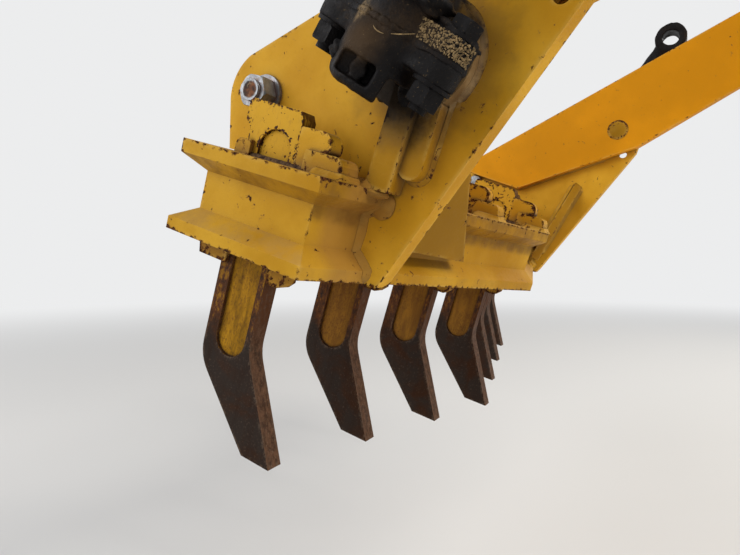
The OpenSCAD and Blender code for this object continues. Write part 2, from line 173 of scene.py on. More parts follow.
class ScarifierSizes(bpy.types.PropertyGroup):
    """Sizes of the pieces that are made here, in millimetres, and the floor's drop in metres."""

    weld_leg: length("Weld leg", "Leg of a weld fillet", 9, 4, 14)
    weld_pitch: length("Weld ripple", "Spacing of a bead's ripples", 5, 3, 9)
    bar_round: length("Bar edge", "Rounding of the bar's edges", 3, 1, 6)
    edge_round: length("Edge", "Rounding of plate edges", 1.6, 0.5, 4)
    forged_round: length("Forged edge", "Rounding of forged edges", 3, 1, 5)
    cake_cell: length("Grease cell", "Cell of the greased iron's skin", 2.4, 2, 5)
    cake_high: length("Grease height", "Height of the grease's lumps", 4, 1, 6)
    thread_pitch: length("Thread pitch", "Pitch of bolt threads", 3, 1.5, 4)
    floor_drop: FloatProperty(
        name="Floor", description="Floor under the hinge face", default=1.46, min=1.4, max=2, unit="LENGTH"
    )


def arithmetic(operation, swapped=False):
    """A method of Field that makes one Math node."""

    def method(field, other=0):
        return field.graph.math(operation, *((other, field) if swapped else (field, other)))

    return method


class Field:
    """A number that varies over a surface. Arithmetic on fields makes Math nodes."""

    def __init__(self, graph, socket):
        self.graph = graph
        self.socket = socket

    __add__ = __radd__ = arithmetic("ADD")
    __mul__ = __rmul__ = arithmetic("MULTIPLY")
    __sub__ = arithmetic("SUBTRACT")
    __rsub__ = arithmetic("SUBTRACT", swapped=True)
    __truediv__ = arithmetic("DIVIDE")
    __abs__ = arithmetic("ABSOLUTE")


def given(made, **settings):
    """The same thing, with its settings made."""
    for key, value in settings.items():
        setattr(made, key, value)
    return made


class Nodes:
    """The nodes of a material or of the world."""

    def __init__(self, owner):
        owner.use_nodes = True
        self.tree = owner.node_tree

    def node(self, kind, sockets=(), **settings):
        """A new shader node with its settings, and numbers, colours or links for its sockets."""
        made = given(self.tree.nodes.new(f"ShaderNode{kind}"), **settings)
        for key, value in dict(sockets).items():
            self.put(made.inputs[key], value)
        return made

    def put(self, socket, value):
        """Sets a socket to a number, vector or colour, or links it to a field or another socket."""
        if isinstance(value, Field):
            value = value.socket
        if isinstance(value, bpy.types.NodeSocket):
            self.tree.links.new(value, socket)
        elif socket.type == "RGBA":
            socket.default_value = (*value, 1)
        else:
            socket.default_value = value

    def math(self, operation, *values):
        """Math node on numbers and fields."""
        made = self.node("Math", enumerate(values), operation=operation)
        return Field(self, made.outputs[0])

    def seen(self):
        """1 where the backdrop is seen itself or in a reflection, 0 where it lights the object."""
        rays = self.node("LightPath").outputs
        return self.math("MAXIMUM", rays["Is Camera Ray"], rays["Is Glossy Ray"])


class Graph(Nodes):
    """The nodes of one material. Its x, y and z are the bar's frame in millimetres, and facing is the
    surface's own direction in the model's frame."""

    def __init__(self, name):
        self.material = bpy.data.materials.new(name)
        super().__init__(self.material)
        self.shader = self.tree.nodes["Principled BSDF"]
        self.texture = self.node("TexCoord")
        c, s = math.cos(CARRY), math.sin(CARRY)
        origin = (PIVOT[0] - s * HINGE_DROP, 0, PIVOT[2] + c * HINGE_DROP)
        self.place = self.mapped(self.texture.outputs["Object"], (1000,) * 3, origin, (0, -CARRY, 0))
        self.x, self.y, self.z = self.split(self.place)
        self.facing = self.split(self.texture.outputs["Normal"])

    def mapped(self, vector, scale, offset, turn=(0, 0, 0)):
        """A vector scaled on each axis and turned, with an offset added."""
        sockets = {"Vector": vector, "Scale": scale, "Location": offset, "Rotation": turn}
        return self.node("Mapping", sockets).outputs["Vector"]

    def split(self, vector):
        """The three parts of a vector."""
        return [Field(self, part) for part in self.node("SeparateXYZ", {0: vector}).outputs]

    def noise(self, size, detail, rough=0.55, offset=0, warp=0, stretch=(1, 1, 1)):
        """Smooth noise from 0 to 1 with features about size millimetres wide. offset picks a part of
        it, and stretch scales each axis, for streaks."""
        place = self.mapped(self.place, stretch, (offset, offset * 0.7, -offset))
        sockets = {"Scale": 1 / size, "Detail": detail, "Roughness": rough, "Distortion": warp}
        return Field(self, self.node("TexNoise", {"Vector": place, **sockets}).outputs["Fac"])

    def step(self, value, low, high):
        """0 under low, 1 over high and a smooth rise between, or a fall where high is the lower."""
        start, end = (1, 0) if high < low else (0, 1)
        sockets = {"From Min": min(low, high), "From Max": max(low, high), "To Min": start, "To Max": end}
        made = self.node("MapRange", {"Value": value, **sockets}, interpolation_type="SMOOTHSTEP")
        return Field(self, made.outputs["Result"])

    def mix(self, share, a, b):
        """Colour a with a share of colour b over it."""
        return self.node("Mix", {0: share, 6: a, 7: b}, data_type="RGBA").outputs[2]

    def layered(self, tone, *layers):
        """A colour with layers over it, each given as its share and its colour."""
        for share, layer in layers:
            tone = self.mix(share, tone, layer)
        return tone

    def blend(self, share, a, b):
        """Number between a and b."""
        return Field(self, self.node("Mix", {0: share, 2: a, 3: b}, data_type="FLOAT").outputs[0])

    def radius(self, at):
        """Distance in millimetres from a line across the machine through at, forward and up."""
        dx, dz = self.x - at[0], self.z - at[1]
        return self.math("SQRT", dx * dx + dz * dz)

    def rims(self, reach):
        """1 on convex edges, 0 on open faces: how much of the way inward is cut short within reach."""
        sockets = {"Distance": reach / 1000}
        made = self.node("AmbientOcclusion", sockets, samples=8, inside=True)
        return self.step(made.outputs["AO"], 0.95, 0.55)

    def corners(self, reach):
        """1 in corners that light hardly reaches, 0 on open faces."""
        made = self.node("AmbientOcclusion", {"Distance": reach / 1000}, samples=6)
        return self.step(made.outputs["AO"], 0.95, 0.35)

    def finish(self, base, rough, bumps, metal=0, specular=0.5):
        """Wires colour, roughness and bumps to the shader. A bump is (height, strength, depth in mm)."""
        sockets = {"Base Color": base, "Roughness": rough, "Metallic": metal, "Specular IOR Level": specular}
        for key, value in sockets.items():
            self.put(self.shader.inputs[key], value)
        target = self.shader.inputs["Normal"]
        for height, strength, depth in reversed(bumps):
            sockets = {"Height": height, "Strength": strength, "Distance": depth / 1000}
            made = self.node("Bump", sockets)
            self.put(target, made.outputs["Normal"])
            target = made.inputs["Normal"]
        return self.material


def bar_stains_and_shade(g, look, tone, mottle):
    """Stain and painted shade on the bar beside the plates, painted shade in the fold under its upper
    flange, and painted shade, a dusty brown, on its lower faces that look down."""
    out = abs(g.y)
    # the bar beside the plates made darker and browner: partly stain, partly painted shade
    beside = g.step(out + mottle * 34, 572, 540) * g.step(out, PLATE_OUT - 8, PLATE_OUT)
    # painted shade: the fold under the upper flange darkened where its faces look down
    fold = g.step(g.facing[2], 0.05, -0.3) * g.step(g.z, 60, 70)
    fold = fold * (0.35 + g.step(mottle, 0.36, 0.64) * 0.65)
    # painted shade: low faces that look down darkened to a dusty brown
    down = g.step(g.facing[2], -0.15, -0.6) * g.step(g.z, 40, 30) * g.step(mottle, 0.3, 0.6)
    return g.layered(
        tone,
        (beside * 0.6, look.stain),
        (fold * 0.62, look.stain * 0.5),
        (down * 0.6, look.dust * 0.62),
    )


def joint_dirt(g, look, tone, mottle, grain, greasy):
    """Greasy dirt on the plates' outer faces that thins away from the ball joint, and dust near it."""
    away = g.radius((BALL[0] + 6, BALL[2] - 6)) + mottle * 80
    outer = g.step(abs(g.y), PLATE_OUT - 14, PLATE_OUT - 3)
    close = g.step(away, 104, 92) * g.step(grain, 0.3, 0.6) * outer
    around = g.step(away, 158, 106) * outer
    return g.layered(tone, (around * (0.62 * greasy), look.grime_and_shade), (close * 0.55, look.dust))


def bracket_grease(g, look, tone, mottle, flake):
    """Grease on the post's upper part behind a ragged line and on the stud inside the socket, and
    a rim round the pad, dusty in front and greasy behind."""
    upper = g.step(g.z + mottle * 90, 196, 262) * g.step(g.x + flake * 24, 84, 66)
    edge = g.step(abs(g.radius(BALL_LINE) - PAD_R), 7, 2) * g.step(g.x, 60, 80)
    behind = g.step(g.x - g.z + mottle * 60, -150, -205)
    pad_face = PLATE_OUT + PAD_THICK
    stud = g.step(abs(g.y), pad_face + 1, pad_face + 4) * g.step(g.radius(BALL_LINE), 44, 40)
    return g.layered(
        tone,
        (upper * 0.93, look.grease),
        (edge * 0.75, g.mix(g.step(mottle, 0.3, 0.7), look.dust, look.soil)),
        (edge * behind * 0.8, look.grease),
        (stud, look.grease),
    )


def enamel(
    name, look, light, dark, chips, spots, dust, cast,
    flakes=10, rusty=0, stained_and_shaded=False, greasy=0, caked=False,
):
    """Enamel on steel, with soil and grime in corners that are partly painted shade, dust on faces that
    look up, and pale edges that are worn paint and a painted highlight. Rust shows, with a stain round
    it, where noise of size flakes passes a level. The noise is raised on convex edges by chips, in
    clusters by spots, all over by rusty, and along the bar's lower and top edges. cast is the
    unevenness of the skin. The last three switches add the bar's stains and painted shade, the dirt of
    the ball joints' surroundings and the dirt of the brackets."""
    g = Graph(name)
    wide = g.noise(190, 3, 0.5, 11)
    mottle = g.noise(30, 5, 0.58, 5)
    grain = g.noise(3.4, 5, 0.65, 23)
    flake = g.noise(flakes, 4, 0.62, 41, warp=0.35)
    cluster = g.noise(90, 2, 0.5, 71)
    rim, corner = g.rims(7), g.corners(26)
    upward = g.step(g.facing[2], 0.45, 0.95)
    tone = g.layered(
        light,
        (g.step(wide, 0.36, 0.66), dark),
        (g.step(mottle, 0.46, 0.74) * 0.4, dark),
        (g.step(grain, 0.52, 0.8) * 0.16, look.stain),
        (upward * g.step(mottle, 0.3, 0.62) * (dust * 0.7), look.dust),
        # soil in corners and dark grime in tight ones, laid by how shut in they are: partly real dirt,
        # partly painted shade
        (corner * dust, look.soil),
        (g.step(g.corners(7), 0.25, 0.75) * 0.55, look.grime_and_shade),
        (g.step(g.z, 2, -6) * 0.5, look.rust_warm),
        # pale edges: worn enamel, and also a painted highlight
        (rim * g.step(mottle, 0.4, 0.62) * 0.28, look.enamel_worn_and_highlight),
    )
    # the bar's stains and its painted shade
    if stained_and_shaded:
        tone = bar_stains_and_shade(g, look, tone, mottle)
    # chips down to rust
    level = flake + rim * (0.09 + 0.13 * chips) + (cluster - 0.5) * (0.42 * spots)
    level = level - corner * 0.08 + rusty
    under = g.step(g.z, 6, -1) * 0.095
    seam = g.step(g.z, BAR_HIGH - 5, BAR_HIGH - 1) * g.step(g.z, BAR_HIGH + 8, BAR_HIGH + 1)
    level = level + g.math("MAXIMUM", under, seam * 0.05 * (1 - upward))
    if rusty:
        level = level + g.step(abs(g.y), 500, 460) * 0.045
    chip = g.step(level, 0.69, 0.703)
    bare = g.mix(g.step(grain, 0.42, 0.6), look.rust, look.rust_warm)
    tone = g.layered(tone, (g.step(level, 0.635, 0.7) * 0.55, look.stain), (chip, bare))
    if greasy:
        tone = joint_dirt(g, look, tone, mottle, grain, greasy)
    if caked:
        tone = bracket_grease(g, look, tone, mottle, flake)
    rough = g.blend(chip, g.blend(g.step(grain, 0.3, 0.7), 0.44, 0.62), 0.9)
    skin = g.noise(14, 3, 0.5, 61)
    bumps = [(skin, cast, 1.4), (grain, 0.3 * cast, 0.4), (1 - chip, 0.7, 0.5)]
    return g.finish(tone, rough, bumps, specular=0.07)


def shank_steel(look):
    """Shank steel. The distance from a groove's middle line tells groove from blade. Blades are dark
    brown with paler worn edges, and fronts are rusty. Grooves keep patches of flecked enamel, browner
    on the inner shanks as painted shade. Heads over the bar keep most of theirs, but for chips and
    fronts that are rusty and darkened as painted shade. Corners take near black rust that is partly
    painted shade."""
    g = Graph("shank_steel")
    row = abs(g.math("ROUND", g.y / SHANK_PITCH))
    off = g.x + row * (BAR_SWEEP * SHANK_PITCH) - SHANK_AHEAD - GROOVE_AHEAD
    past = g.math("MAXIMUM", g.math("MAXIMUM", g.z - GROOVE_HIGH, GROOVE_LOW - g.z), 0)
    away = g.math("SQRT", off * off + past * past)
    grain = g.noise(3.2, 6, 0.7, 3)
    fleck = g.noise(6, 7, 0.78, 17, stretch=(1, 1, 0.5))
    streak = g.noise(12, 5, 0.62, 27, warp=0.3, stretch=(1, 1, 0.22))
    patch = g.noise(55, 5, 0.6, 29, warp=0.6)
    rim = g.rims(6)
    # inner shanks: their groove enamel is browned as painted shade, and their heads chip a little more
    inner = g.step(row, 2.8, 2.2)
    # the blade and its front
    front = g.step(g.facing[0], 0.45, 0.8)
    rusty = g.mix(g.step(fleck, 0.4, 0.6), look.steel_front, look.steel_front * 0.38)
    rusty = g.mix(g.step(grain, 0.56, 0.7) * 0.45, rusty, look.steel_worn)
    warm = g.step(g.z + patch * 70, -90, -40)
    blade = g.layered(
        look.steel * 0.62,
        (g.step(patch, 0.4, 0.66), look.rust_warm * 0.27),
        (g.step(streak, 0.46, 0.72) * 0.35, look.rust),
        (g.step(grain, 0.54, 0.72) * 0.16, look.steel_worn),
        (front * 0.9, rusty),
        (rim * g.step(fleck + grain * 0.3, 0.62, 0.74) * 0.3, look.steel_worn),
        (warm * g.step(fleck, 0.36, 0.58), look.rust_warm * 0.8),
    )
    # enamel left in the groove, and thinly beside it on the upper blade
    inside = g.step(away + (fleck - 0.5) * 7, GROOVE_HALF + 0.5, GROOVE_HALF - 2.5)
    thin = g.noise(2.6, 7, 0.85, 57, stretch=(1, 1, 0.45))
    lost = g.step(thin + (patch - 0.5) * 0.45, 0.46, 0.66)
    spread = warm * g.step(fleck + g.z * 0.0006, 0.5, 0.56) * (1 - front)
    kept = g.math("MAXIMUM", inside * g.blend(lost, 1, 0.28), spread * 0.55)
    ochre = g.layered(
        look.enamel_dark * 0.95,
        (g.step(streak, 0.3, 0.7), look.enamel_dark * 0.42),
        # painted shade: the inner shanks' groove enamel made browner
        (inner * 0.55, look.rust_warm * 1.1),
    )
    # the head over the bar, chipped on its edges and round the groove's arch
    above = g.step(g.z, BAR_HIGH - 8, BAR_HIGH - 2)
    arch = g.step(abs(away - (GROOVE_HALF + 0.5)), 4.5, 1)
    level = g.noise(5.6, 3, 0.6, 47, warp=0.3) + g.math("MAXIMUM", rim * 0.17, arch * 0.16)
    chip = g.step(level + inner * 0.05 + g.step(g.z, 166, 182) * 0.025, 0.655, 0.668)
    # the heads' forward faces darkened to rusty brown: rust and painted shade
    head_front_rust_and_shade = g.step(g.facing[0], 0.5, 0.9) * g.step(streak, 0.34, 0.46)
    head = g.layered(
        look.enamel * 1.08,
        (g.step(patch, 0.4, 0.66), look.enamel),
        (g.step(fleck, 0.54, 0.66) * 0.3, look.stain),
        (head_front_rust_and_shade * 0.88, look.rust_warm * 0.55),
        (chip, g.mix(g.step(grain, 0.42, 0.6), look.rust, look.rust_warm)),
    )
    # near black rust in corners by how shut in they are, partly painted shade
    tone = g.layered(blade, (kept, ochre), (above, head), (g.corners(20) * 0.55, look.rust))
    rough = g.blend(kept, g.blend(g.step(streak, 0.3, 0.7), 0.5, 0.74), 0.62)
    bumps = [(fleck, 0.35, 1.2), (grain, 0.35, 0.5), (1 - chip * above, 0.7, 0.6)]
    return g.finish(tone, rough, bumps, specular=0.09)


def dull_zinc(look):
    """Zinc plating that has gone dull, with rust on the rear bolts' sawn ends, and rust in its corners that
    is partly painted shade.
    """
    g = Graph("dull_zinc")
    grain = g.noise(4, 5, 0.6, 7)
    cloud = g.noise(18, 4, 0.6, 19)
    end = g.step(g.radius(REAR_BOLT) + grain * 5, 14.5, 12) * g.step(abs(g.y), 504.5, 505.5)
    rusty = g.mix(g.step(cloud, 0.38, 0.58), look.rust_warm * 1.6, look.rust)
    tone = g.layered(
        look.zinc * 0.75,
        (g.step(cloud, 0.35, 0.7), look.zinc * 0.35),
        (g.step(grain, 0.55, 0.72) * 0.55, look.stain),
        # warm rust in corners by how shut in they are, partly painted shade
        (g.corners(9) * 0.8, look.rust_warm),
        (end, g.mix(g.step(grain, 0.56, 0.66) * 0.5, rusty, look.dust)),
    )
    rough = g.blend(end, g.blend(g.step(grain, 0.35, 0.7), 0.3, 0.55), 0.85)
    return g.finish(tone, rough, [(grain, 0.3, 0.3), (cloud, 0.3, 0.6)], metal=g.blend(end, 0.55, 0))


def black_grease(look):
    """Grease caked on iron: black and lumpy, with a brown haze where wide noise is high and on the
    caps' outer faces, a dusty spot there, and specks of pale grit."""
    g = Graph("black_grease")
    lumps = g.noise(26, 5, 0.6, 13, warp=0.5)
    wide = g.noise(75, 3, 0.5, 83)
    grain = g.noise(2.6, 5, 0.68, 31)
    cap = g.step(abs(g.y), *CAP_FACE)
    ragged = lumps - 0.5
    near = g.step(g.radius(HAZE_AT) + ragged * 40, 36, 4)
    haze = g.math("MAXIMUM", g.step(wide + grain * 0.25, 0.64, 0.84) * 0.35, cap * near * 0.62)
    dusty = cap * g.step(g.radius(DUSTY_AT) + ragged * 26, 14, 3) * g.step(grain, 0.3, 0.6)
    tone = g.layered(
        look.grease,
        (haze, look.grime_and_shade),
        (dusty * 0.75, look.dust * 0.75),
        (g.step(grain, 0.63, 0.7) * 0.3, look.grit),
    )
    rough = g.blend(haze, g.blend(g.step(lumps, 0.35, 0.6), 0.4, 0.66), 0.85)
    bumps = [(lumps, 0.8, 3), (g.noise(7, 5, 0.7, 19), 0.7, 1.2), (grain, 0.8, 0.7)]
    return g.finish(tone, rough, bumps, specular=0.1)


def sandy_grit(look):
    """Grains of dry sand, each a little lighter or darker."""
    g = Graph("sandy_grit")
    tone = g.mix(g.step(g.noise(3, 2, 0.5, 91), 0.38, 0.62), look.grit, look.grit * 0.45)
    return g.finish(tone, 0.85, [(g.noise(1.2, 3), 0.4, 0.3)], specular=0.3)


def dry_straw(look):
    """Straw, paler and darker along its length."""
    g = Graph("dry_straw")
    shade = g.step(g.noise(5, 3, 0.6, 33), 0.36, 0.66)
    tone = g.mix(shade, look.grit * 1.25, look.grit * 0.6)
    return g.finish(tone, 0.6, [(g.noise(1, 3), 0.3, 0.2)], specular=0.2)


def packed_soil(look):
    """Dry soil mixed with rust flakes."""
    g = Graph("packed_soil")
    lumps = g.noise(8, 6, 0.68, 37, warp=0.4)
    tone = g.mix(g.step(lumps, 0.36, 0.62), look.rust, look.soil)
    return g.finish(tone, 0.92, [(lumps, 0.9, 2)], specular=0.3)


def pale_floor(look):
    """Even pale floor that takes a soft shadow, and fades into the backdrop far from the object."""
    g = Graph("pale_floor")
    g.finish(g.mix(g.noise(900, 2), look.floor, look.floor * 0.985), 0.85, [], specular=0.2)
    away = g.node("VectorMath", {0: g.texture.outputs["Object"]}, operation="LENGTH")
    far = g.step(away.outputs["Value"], 2.6, 8)
    glow = g.node("Emission", {"Color": look.backdrop})
    sockets = {0: far * g.seen(), 1: g.shader.outputs[0], 2: glow.outputs[0]}
    surface = g.tree.nodes["Material Output"].inputs["Surface"]
    g.put(surface, g.node("MixShader", sockets).outputs[0])
    return g.material


MATERIALS = {}


def make_materials(look):
    """Makes every finish once, by the names that the pieces ask for."""
    light, dark, arm = look.enamel, look.enamel_dark, look.arm_enamel
    # light and dark tone with their shares, chips, spots, dust, cast, and what else enamel() takes
    enamels = {
        "bar": (light, 1, dark, 1, 0.42, 0.8, 0.75, 0.6, {"stained_and_shaded": True}),
        "plate": (light, 1.22, dark, 1.22, 0.1, 0.35, 0.35, 0.25, {"greasy": 0.7}),
        "bracket": (light, 0.82, dark, 0.85, 0.3, 0.5, 0.7, 0.7, {"greasy": 1, "caked": True}),
        "arm": (arm, 1, arm, 0.8, 0, 0.3, 0.2, 0.2, {}),
        "wedge": (light, 1.16, dark, 1.1, 0.95, 1.1, 0.9, 0.8, {"flakes": 6.5, "rusty": 0.012}),
        # the gussets' darker enamel is partly painted shade
        "gusset": (dark, 0.85, dark, 0.6, 0.05, 0.3, 0.6, 0.25, {}),
        "weld": (light, 0.9, dark, 1, -0.5, 0.4, 0.5, 0.5, {"stained_and_shaded": True}),
        "worn": (light, 0.85, dark, 0.6, 0.6, 1.2, 0.9, 1, {"flakes": 5, "rusty": 0.01}),
    }
    for finish, (a, share_a, b, share_b, *wear, others) in enamels.items():
        MATERIALS[finish] = enamel(f"{finish}_enamel", look, a * share_a, b * share_b, *wear, **others)
    MATERIALS.update(
        shank=shank_steel(look), zinc=dull_zinc(look), grease=black_grease(look), grit=sandy_grit(look),
        straw=dry_straw(look), soil=packed_soil(look), floor=pale_floor(look),
    )


# solids shaded face by face, and wide plates, whose triangles are merged so that no sliver bends
# the shading beside a rounded edge
FLAT_FACED = ("shank_bar", "front_gusset")
WIDE_PLATES = ("side_plate", "hinge_saddle", "draft_arm")


def coat(node, finish):
    """Gives a solid its finish and merges its loose triangles by a modifier, keeping its mesh."""
    piece = NODES[node]
    piece.data.materials.clear()
    piece.data.materials.append(MATERIALS[finish])
    given(piece.modifiers.new("merge", "WELD"), merge_threshold=0.00002)
    return piece


def dress(node, finish, rounding):
    """Gives a solid its finish and rounds its edges by rounding millimetres."""
    piece = coat(node, finish)
    faceted = node.startswith(FLAT_FACED)
    piece.data.polygons.foreach_set("use_smooth", np.full(len(piece.data.polygons), not faceted))
    if node.startswith(WIDE_PLATES):
        flat = piece.modifiers.new("flat", "DECIMATE")
        given(flat, decimate_type="DISSOLVE", angle_limit=math.radians(0.4))
    edge = piece.modifiers.new("edge", "BEVEL")
    given(edge, width=rounding / 1000, segments=3, limit_method="ANGLE", angle_limit=math.radians(32))
    if not faceted:
        given(piece.modifiers.new("even", "WEIGHTED_NORMAL"), mode="FACE_AREA_WITH_ANGLE")


def cake(node, size):
    """Gives greased iron a lumpy skin on an even mesh, keeping the solid's own mesh underneath."""
    piece = coat(node, "grease")
    skin = piece.modifiers.new("skin", "REMESH")
    given(skin, mode="VOXEL", voxel_size=size.cake_cell / 1000, use_smooth_shade=True)
    given(piece.modifiers.new("soft", "SMOOTH"), factor=0.5, iterations=3)
    noise = bpy.data.textures.get("grease_lumps") or bpy.data.textures.new("grease_lumps", "CLOUDS")
    given(noise, noise_scale=0.026, noise_depth=3)
    lumps = piece.modifiers.new("lumps", "DISPLACE")
    given(lumps, texture=noise, texture_coords="LOCAL", strength=size.cake_high / 1000, mid_level=0.5)


def new_object(name, data):
    """A new object in the scene."""
    made = bpy.data.objects.new(name, data)
    bpy.context.scene.collection.objects.link(made)
    return made


def piece_from_grid(name, grid, finish, slot, body="scarifier", smooth=True):
    """Mesh through a grid of points, or through many along a first axis. Rows close on themselves,
    rows that shrink to a point close the ends, and doubles are merged, so that shells are whole."""
    rows, cols = grid.shape[-3:-1]
    index = np.arange(rows * cols).reshape(rows, cols)
    index = np.concatenate([index, index[:, :1]], 1)
    quads = np.stack([index[:-1, :-1], index[:-1, 1:], index[1:, 1:], index[1:, :-1]], -1).reshape(-1, 4)
    points = grid.reshape(-1, 3)
    first = np.arange(0, len(points), rows * cols)[:, None, None]
    mesh = bpy.data.meshes.new(name)
    mesh.from_pydata(points.tolist(), [], (quads + first).reshape(-1, 4).tolist())
    shell = bmesh.new()
    shell.from_mesh(mesh)
    bmesh.ops.remove_doubles(shell, verts=shell.verts, dist=1e-6)
    bmesh.ops.dissolve_degenerate(shell, edges=shell.edges, dist=1e-7)
    bmesh.ops.recalc_face_normals(shell, faces=shell.faces)
    shell.to_mesh(mesh)
    shell.free()
    mesh.polygons.foreach_set("use_smooth", np.full(len(mesh.polygons), smooth))
    mesh.materials.append(MATERIALS[finish])
    piece = new_object(name, mesh)
    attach(piece, body)


def side_piece(name, side, grid, *others, **settings):
    """A piece of one side, from a grid of the bar's frame that is drawn on the right."""
    piece_from_grid(f"{name}_{side}", hang(on_side(grid, side)), *others, **settings)


def unit(vectors):
    """Vectors brought to a length of one."""
    return vectors / np.linalg.norm(vectors, axis=-1, keepdims=True)


def full_turn(steps):
    """Angles evenly spaced over a whole turn."""
    return np.linspace(0, 2 * math.pi, steps, endpoint=False)


def ball_grid(rings, steps):
    """Grid of directions, rings from pole to pole by steps round them."""
    polar, turn = np.linspace(0, math.pi, rings)[:, None], full_turn(steps)
    ring, high = np.sin(polar), np.cos(polar)
    return np.stack([ring * np.cos(turn), ring * np.sin(turn), high + 0 * turn], -1)


def smoothed(values, reach, past_ends):
    """Running mean along the first axis over reach neighbours each way. past_ends is the mode that
    np.pad fills them with past the ends."""
    kernel = np.ones(2 * reach + 1) / (2 * reach + 1)
    padded = np.pad(values, [(reach, reach)] + [(0, 0)] * (values.ndim - 1), mode=past_ends)
    return np.apply_along_axis(np.convolve, 0, padded, kernel, mode="valid")


def along(points, spacing, *ways):
    """The distances run and the points at an even spacing along a polyline, and the ways, one for
    all its corners or one for each, in between."""
    corners = np.asarray(points, float)
    run = np.concatenate([[0], np.cumsum(np.linalg.norm(np.diff(corners, axis=0), axis=1))])
    s = np.linspace(0, run[-1], max(6, int(run[-1] / spacing)))
    tables = [np.broadcast_to(np.asarray(table, float), corners.shape) for table in (corners, *ways)]
    return s, *(np.stack([np.interp(s, run, table[:, k]) for k in range(3)], -1) for table in tables)


def bead_swell(s, bow, pitch, seed, ripple, wander, run_out):
    """How a bead's size changes over the distances s and round its section: by ripples a pitch
    apart, bowed forward by bow pitches, and by slow sines, each a share and a run of wander. The
    second value falls to nothing over run_out at both ends."""
    swell = 1 + ripple * np.abs(np.sin(math.pi * (s[:, None] / pitch + bow)))
    for number, (share, run) in enumerate(wander, 1):
        swell = swell + share * np.sin(s / run + number * seed)[:, None]
    return swell, np.sqrt(np.clip(np.minimum(s, s[-1] - s) / run_out, 0, 1))[:, None]


def ripple_tube(points, out, half_wide, half_high, pitch, seed):
    """Bead along a polyline: an ellipse, half_wide across and half_high along out. bead_swell
    changes its size."""
    s, path = along(points, 1.4)
    ahead = unit(np.gradient(path, axis=0))
    side = unit(np.cross(ahead, out))
    rise = np.cross(side, ahead)
    angle = full_turn(14)
    wander = ((0.05, 17), (0.04, 7.3))
    swell, ends = bead_swell(s, 0.5 * np.sin(angle), pitch, seed, 0.13, wander, half_wide)
    across = (half_wide * swell * ends * np.cos(angle))[..., None] * side[:, None, :]
    up = (half_high * swell * ends * np.sin(angle))[..., None] * rise[:, None, :]
    return path[:, None, :] + across + up


def fillet(points, a, b, leg, pitch, seed, corner=1.5):
    """Weld fillet along a corner's polyline. a and b are the directions along the two faces, one
    pair for the whole line or one for each point. The section, seven parts of a hollow quarter
    circle to three of a full one, closes just inside the corner. bead_swell changes its size."""
    s, path, *ways = along(points, 1.5, a, b)
    turns = [unit(smoothed(way, min(9, len(way) // 2), "edge")) for way in ways]
    t = np.linspace(0, 0.5 * math.pi, 9)
    wander = ((0.06, 19), (0.04, 8.3))
    swell, ends = bead_swell(s, 0.45 * np.sin(2 * t), pitch, seed, 0.05, wander, leg)
    skin = path[:, None, :]
    for turn, near, far in ((turns[0], np.cos(t), np.sin(t)), (turns[1], np.sin(t), np.cos(t))):
        part = 0.3 * near + 0.7 * (1 - far)
        skin = skin + (leg * swell * ends * part)[..., None] * turn[:, None, :]
    inner = path - corner * ends * (turns[0] + turns[1])
    return np.concatenate([skin, inner[:, None, :]], 1)


def lump(centre, radii, seed, rough=0.18):
    """Lumpy closed shell: an ellipsoid whose radius swings by sines of its own direction."""
    d = ball_grid(26, 34)
    wave = np.sin(3.1 * d[..., 0] + seed) * np.sin(2.7 * d[..., 1] - 1.3 * seed)
    wave = wave + 0.6 * np.sin(6.3 * d[..., 2] + 4.1 * d[..., 0] + 2.1 * seed)
    wave = wave + 0.35 * np.sin(11 * d[..., 1] - 9 * d[..., 2] + seed)
    return np.asarray(centre) + d * np.asarray(radii) * (1 + rough * wave)[..., None]


def circle_xz(centre, y, radius, start, end, steps):
    """Arc in the plane across the machine, by its centre, its sideways place and its angles."""
    a = np.radians(np.linspace(start, end, steps))
    return np.stack([centre[0] + radius * np.cos(a), np.full(steps, y), centre[1] + radius * np.sin(a)], -1)


def bar_face(y, setting=0):
    """Forward place of the bar's front face at a sideways place, less a set-in."""
    return BAR_FRONT - BAR_SWEEP * abs(y) - setting * math.sqrt(1 + BAR_SWEEP**2)


def profile_seam(y, way):
    """The bar's profile at a sideways place, in front for 1 and behind for -1, and the ways off it."""
    back = BAR_WIDE if way < 0 else 0
    points = [(bar_face(y, way * setting) - back, y, z) for setting, z, _, _ in PROFILE]
    return points, [(way * ahead, 0, up) for _, _, ahead, up in PROFILE]


def round_ways(centre, points):
    """Directions away from a line that runs across the machine through centre."""
    return (points - (centre[0], 0, centre[1])) * (1, 0, 1)


def shank_place(i):
    """Forward and sideways place of a shank's centre."""
    y = SHANK_PITCH * (i - (SHANK_COUNT + 1) / 2)
    return SHANK_AHEAD - BAR_SWEEP * abs(y), y


class SCARIFIER_OT_bar(bpy.types.Operator):
    """Rounds and finishes the shank bar with its lugs"""

    bl_idname = "scarifier.bar"
    bl_label = "Shank bar"

    def execute(self, context):
        dress("shank_bar", "bar", context.scene.scarifier_sizes.bar_round)
        return {"FINISHED"}


class SCARIFIER_OT_shanks(bpy.types.Operator):
    """Rounds and finishes the shanks and their wedges"""

    bl_idname = "scarifier.shanks"
    bl_label = "Shanks and wedges"

    def execute(self, context):
        size = context.scene.scarifier_sizes
        for i in range(1, SHANK_COUNT + 1):
            dress(f"shank_{i}", "shank", size.forged_round)
            dress(f"wedge_{i}", "wedge", size.forged_round)
        return {"FINISHED"}


